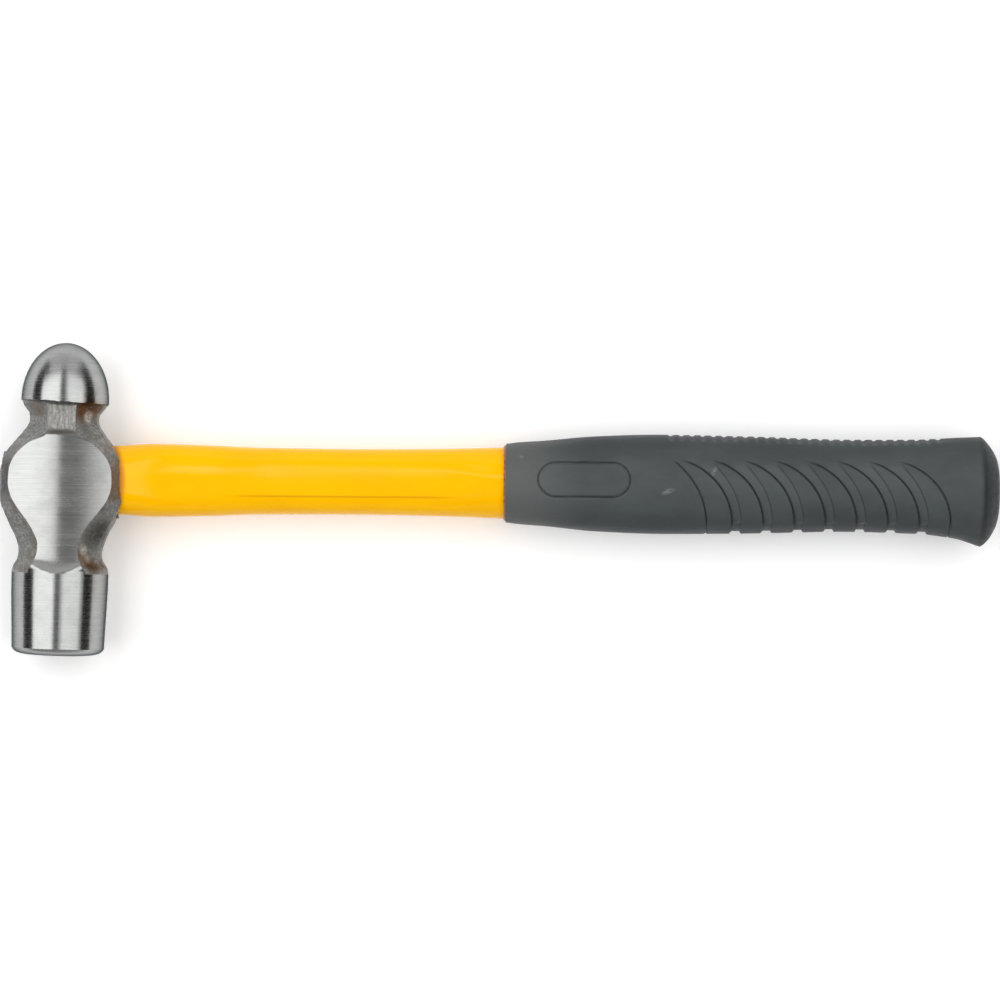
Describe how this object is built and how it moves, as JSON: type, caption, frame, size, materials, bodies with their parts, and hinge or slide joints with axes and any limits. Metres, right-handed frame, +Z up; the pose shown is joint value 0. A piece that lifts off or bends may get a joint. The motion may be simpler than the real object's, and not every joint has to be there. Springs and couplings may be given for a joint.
{
  "type": "ball peen hammer",
  "caption": "Ball peen hammer lying on its side: forged steel head resin-bonded to a fibreglass handle with a moulded jacket and a rubber grip sleeve.",
  "frame": {"origin": "middle of the hammer's bounding box, on the plane that it lies on", "axes": "+X along the handle to the butt, +Y towards the ball peen, so the striking face points to -Y, and +Z up with the hammer on its side"},
  "size_m": [0.3305, 0.1035, 0.032],
  "materials": {
    "steel": "ground and turned steel with forged scale on the necks",
    "fibreglass": "pultruded glass fibre rod",
    "yellow_jacket": "glossy moulded plastic",
    "resin": "cast epoxy, smooth",
    "seal": "brown sealing compound",
    "grip_rubber": "matte moulded rubber",
    "glue": "dried contact glue"
  },
  "bodies": {
    "root": {"hammer_head": "steel", "handle_core": "fibreglass", "handle_jacket": "yellow_jacket", "eye_resin": "resin", "eye_seal_ring": "seal", "grip_sleeve": "grip_rubber", "grip_adhesive": "glue"}
  },
  "joints": []
}
